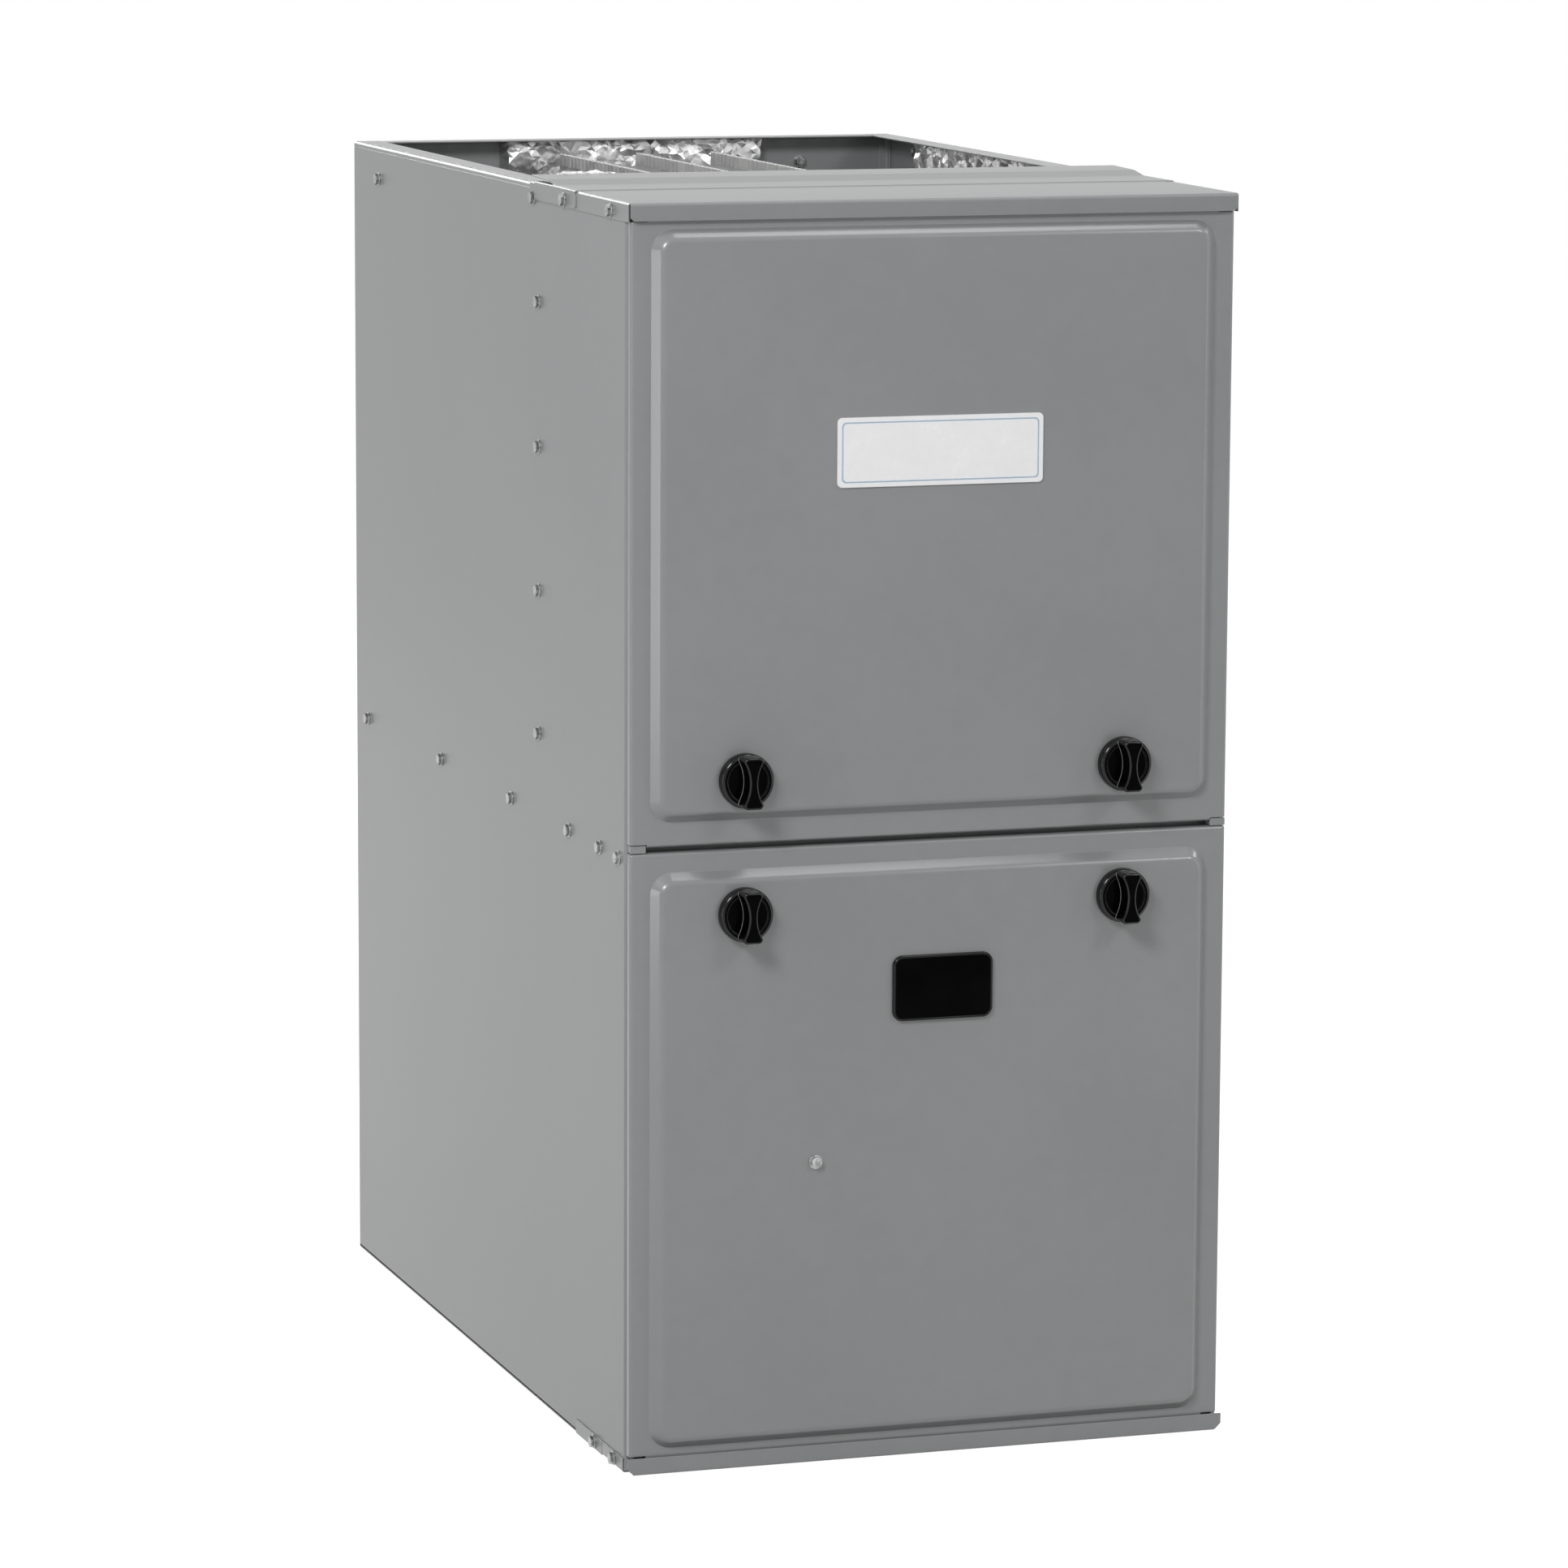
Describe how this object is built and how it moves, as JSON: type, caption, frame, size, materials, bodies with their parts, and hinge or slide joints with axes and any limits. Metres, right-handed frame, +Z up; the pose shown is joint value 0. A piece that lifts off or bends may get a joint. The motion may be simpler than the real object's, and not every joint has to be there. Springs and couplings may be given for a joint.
{
  "type": "forced air gas furnace",
  "caption": "Upflow forced air gas furnace: grey sheet-steel cabinet with two lift-off doors, quarter-turn knobs, open supply top, heat exchanger, burners and blower.",
  "frame": {"origin": "centre of the bounding box on the floor", "axes": "+Z up, +X to the right as seen from the front, the doors face -Y"},
  "size_m": [0.4552, 0.774, 0.895],
  "materials": {
    "enamel": "satin",
    "enamel_top": "satin",
    "galvanised": "satin",
    "zinc": "satin",
    "cell_steel": "matte",
    "coil_steel": "satin",
    "foil": "gloss",
    "burner_steel": "satin",
    "pipe_black": "satin",
    "brass": "satin",
    "valve_metal": "satin",
    "red_plastic": "gloss",
    "ceramic": "matte",
    "dark_plastic": "matte",
    "motor_paint": "satin",
    "rotor_metal": "satin",
    "rubber": "matte",
    "cream_plastic": "satin",
    "capacitor_can": "satin",
    "board": "satin",
    "transformer_steel": "matte",
    "knob_black": "gloss",
    "lens": "gloss",
    "badge": "gloss"
  },
  "bodies": {
    "cabinet": {"casing_left": "enamel", "casing_right": "enamel", "casing_back": "enamel", "base_sill": "enamel", "bottom_panel": "enamel", "latch_rail": "enamel", "top_plate": "enamel_top", "blower_shelf": "galvanised", "cell_panel": "galvanised", "coupling_box": "galvanised", "burner_box": "galvanised", "blower_housing": "galvanised", "control_tray": "galvanised", "junction_box": "galvanised", "side_screws": "zinc", "motor_mount": "zinc", "cells": "cell_steel", "condensing_coil": "coil_steel", "foil_back": "foil", "foil_sides": "foil", "burners": "burner_steel", "manifold": "pipe_black", "orifices": "brass", "gas_valve": "valve_metal", "igniter": "ceramic", "flame_sensor": "ceramic", "rollout_switches": "dark_plastic", "limit_switch": "dark_plastic", "collector_box": "dark_plastic", "inducer_housing": "dark_plastic", "condensate_trap": "dark_plastic", "board_parts": "dark_plastic", "door_switch": "dark_plastic", "inducer_motor": "motor_paint", "blower_motor": "motor_paint", "vent_coupling": "rubber", "air_coupling": "rubber", "pressure_hose": "rubber", "pressure_switch": "cream_plastic", "capacitor": "capacitor_can", "control_board": "board", "transformer": "transformer_steel"},
    "upper_door": {"upper_door": "enamel", "upper_pad": "foil", "badge_plate": "badge"},
    "lower_door": {"lower_door": "enamel", "lower_pad": "foil", "sight_bezel": "knob_black", "sight_lens": "lens", "door_screw": "zinc"},
    "knob_upper_left": {"knob_upper_left": "knob_black"},
    "knob_upper_right": {"knob_upper_right": "knob_black"},
    "knob_lower_left": {"knob_lower_left": "knob_black"},
    "knob_lower_right": {"knob_lower_right": "knob_black"},
    "blower_rotor": {"blower_wheel": "rotor_metal"},
    "inducer_fan": {"inducer_rotor": "rotor_metal"},
    "valve_slide": {"valve_switch": "red_plastic"},
    "reset_left": {"reset_button_left": "red_plastic"},
    "reset_right": {"reset_button_right": "red_plastic"},
    "plunger": {"switch_plunger": "cream_plastic"}
  },
  "joints": [
    {"name": "upper_door_tilt", "type": "hinge", "parent": "cabinet", "child": "upper_door", "pos_m": [0, -0.36, 0.8776], "axis": [-1, 0, 0], "range_deg": [0, 75]},
    {"name": "lower_door_tilt", "type": "hinge", "parent": "cabinet", "child": "lower_door", "pos_m": [0, -0.36, 0.0122], "axis": [1, 0, 0], "range_deg": [0, 75]},
    {"name": "turn_upper_left", "type": "hinge", "parent": "upper_door", "child": "knob_upper_left", "pos_m": [-0.14, -0.359, 0.4905], "axis": [0, 1, 0], "range_deg": [0, 90]},
    {"name": "turn_upper_right", "type": "hinge", "parent": "upper_door", "child": "knob_upper_right", "pos_m": [0.14, -0.359, 0.4905], "axis": [0, 1, 0], "range_deg": [0, 90]},
    {"name": "turn_lower_left", "type": "hinge", "parent": "lower_door", "child": "knob_lower_left", "pos_m": [-0.14, -0.359, 0.3964], "axis": [0, 1, 0], "range_deg": [0, 90]},
    {"name": "turn_lower_right", "type": "hinge", "parent": "lower_door", "child": "knob_lower_right", "pos_m": [0.14, -0.359, 0.3964], "axis": [0, 1, 0], "range_deg": [0, 90]},
    {"name": "blower_spin", "type": "hinge", "parent": "cabinet", "child": "blower_rotor", "pos_m": [0, 0.125, 0.222], "axis": [1, 0, 0], "continuous": true},
    {"name": "inducer_spin", "type": "hinge", "parent": "cabinet", "child": "inducer_fan", "pos_m": [-0.01, -0.19, 0.585], "axis": [0, 1, 0], "continuous": true},
    {"name": "valve_slide_move", "type": "slide", "parent": "cabinet", "child": "valve_slide", "axis": [1, 0, 0], "range_m": [0, 0.014]},
    {"name": "press_reset_left", "type": "slide", "parent": "cabinet", "child": "reset_left", "axis": [0, 0, 1], "range_m": [-0.0015, 0], "stiffness_N_per_m": 800, "springref_m": 0.0005},
    {"name": "press_reset_right", "type": "slide", "parent": "cabinet", "child": "reset_right", "axis": [0, 0, 1], "range_m": [-0.0015, 0], "stiffness_N_per_m": 800, "springref_m": 0.0005},
    {"name": "plunger_slide", "type": "slide", "parent": "cabinet", "child": "plunger", "axis": [0, -1, 0], "range_m": [0, 0.004]}
  ],
  "couplings": [
    {"joint": "plunger_slide", "follows": "lower_door_tilt", "m_per_rad": 0.003}
  ]
}
